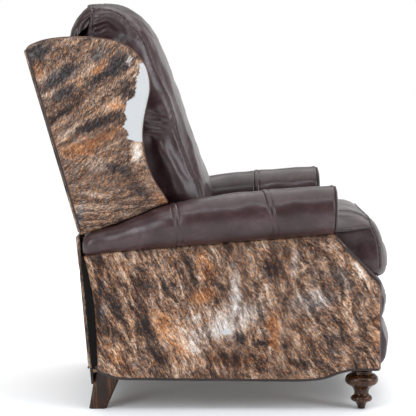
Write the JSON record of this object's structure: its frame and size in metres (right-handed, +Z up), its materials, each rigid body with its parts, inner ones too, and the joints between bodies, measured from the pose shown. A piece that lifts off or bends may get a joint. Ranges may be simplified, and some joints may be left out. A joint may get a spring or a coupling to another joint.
{
  "type": "recliner",
  "caption": "High-leg wing recliner with rolled leather arms, hair-on hide panels, turned front legs and a folding footrest; the back, seat and footrest move together.",
  "frame": {"origin": "on the floor below the middle of the closed chair's outline", "axes": "+X the way the sitter faces, +Y the sitter's left, +Z up"},
  "size_m": [0.9681, 0.8012, 1.0723],
  "materials": {
    "leather": "semi-gloss, finely grained, warm grey-brown",
    "hide": "hair-on hide, brindled black, brown, rust and cream",
    "walnut": "dark walnut stain, satin",
    "frame_wood": "raw hardwood and plywood",
    "webbing": "woven, matte",
    "nylon": "matte",
    "steel": "zinc plated"
  },
  "bodies": {
    "base": {"front_leg_right": "walnut", "front_leg_left": "walnut", "rear_leg_right": "walnut", "rear_leg_left": "walnut", "leg_bolts": "steel", "side_panel_right": "hide", "side_panel_left": "hide", "arm_roll_right": "leather", "arm_roll_left": "leather", "arm_inner_pad_right": "leather", "arm_inner_pad_left": "leather", "arm_facing_right": "leather", "arm_facing_left": "leather", "front_post_right": "frame_wood", "front_post_left": "frame_wood", "rear_post_right": "frame_wood", "rear_post_left": "frame_wood", "arm_rail_right": "frame_wood", "arm_rail_left": "frame_wood", "side_board_right": "frame_wood", "side_board_left": "frame_wood", "rear_gussets": "leather", "rear_panel": "hide", "rear_hem": "leather", "front_cross_rail": "frame_wood", "rear_cross_rail": "frame_wood", "glide_rails": "steel", "hinge_brackets": "steel"},
    "seat": {"seat_rail_right": "frame_wood", "seat_rail_left": "frame_wood", "seat_front_rail": "frame_wood", "seat_rear_rail": "frame_wood", "seat_springs": "steel", "seat_deck": "webbing", "seat_cushion": "leather", "seat_plates": "steel", "glide_shoes": "nylon"},
    "back": {"back_board_right": "frame_wood", "back_board_left": "frame_wood", "back_top_rail": "frame_wood", "back_bottom_rail": "frame_wood", "back_webbing": "webbing", "back_cushion": "leather", "head_flap": "leather", "outside_back": "hide", "wing_panel_right": "hide", "wing_panel_left": "hide", "wing_pad_right": "leather", "wing_pad_left": "leather", "back_brackets": "steel"},
    "drive_links": {"drive_links": "steel"},
    "swing_links": {"swing_links": "steel", "torque_tube": "steel"},
    "lift_links": {"lift_links": "steel"},
    "steady_links": {"steady_links": "steel"},
    "tie_links": {"tie_links": "steel"},
    "footrest": {"footrest_board": "frame_wood", "footrest_upper_pad": "leather", "footrest_lower_pad": "leather", "footrest_brackets": "steel"}
  },
  "joints": [
    {"name": "back_recline", "type": "hinge", "parent": "base", "child": "back", "pos_m": [-0.334, 0, 0.474], "axis": [0, -1, 0], "range_deg": [0, 30]},
    {"name": "seat_glide", "type": "slide", "parent": "base", "child": "seat", "axis": [0.9945, 0, 0.1045], "range_m": [0, 0.06151]},
    {"name": "drive_link_turn", "type": "hinge", "parent": "back", "child": "drive_links", "pos_m": [-0.32, 0, 0.344], "axis": [0, -1, 0], "range_deg": [-41.6, 0]},
    {"name": "swing_link_turn", "type": "hinge", "parent": "seat", "child": "swing_links", "pos_m": [0.3804, 0, 0.334], "axis": [0, -1, 0], "range_deg": [0, 74.05]},
    {"name": "steady_link_turn", "type": "hinge", "parent": "seat", "child": "steady_links", "pos_m": [0.3639, 0, 0.3102], "axis": [0, -1, 0], "range_deg": [0, 75.9]},
    {"name": "lift_link_turn", "type": "hinge", "parent": "swing_links", "child": "lift_links", "pos_m": [0.36116, 0, 0.14779], "axis": [0, -1, 0], "range_deg": [-136.35, 0]},
    {"name": "tie_link_turn", "type": "hinge", "parent": "swing_links", "child": "tie_links", "pos_m": [0.35693, 0, 0.10691], "axis": [0, -1, 0], "range_deg": [-136.3, 0]},
    {"name": "footrest_turn", "type": "hinge", "parent": "lift_links", "child": "footrest", "pos_m": [0.40199, 0, 0.32464], "axis": [0, -1, 0], "range_deg": [0, 137.75]}
  ],
  "couplings": [
    {"joint": "seat_glide", "follows": "back_recline", "m_per_rad": 0.11746},
    {"joint": "drive_link_turn", "follows": "back_recline", "ratio": -1.385},
    {"joint": "swing_link_turn", "follows": "back_recline", "ratio": 2.4667},
    {"joint": "steady_link_turn", "follows": "back_recline", "ratio": 2.528},
    {"joint": "lift_link_turn", "follows": "back_recline", "ratio": -4.5433},
    {"joint": "tie_link_turn", "follows": "back_recline", "ratio": -4.5413},
    {"joint": "footrest_turn", "follows": "back_recline", "ratio": 4.59}
  ]
}
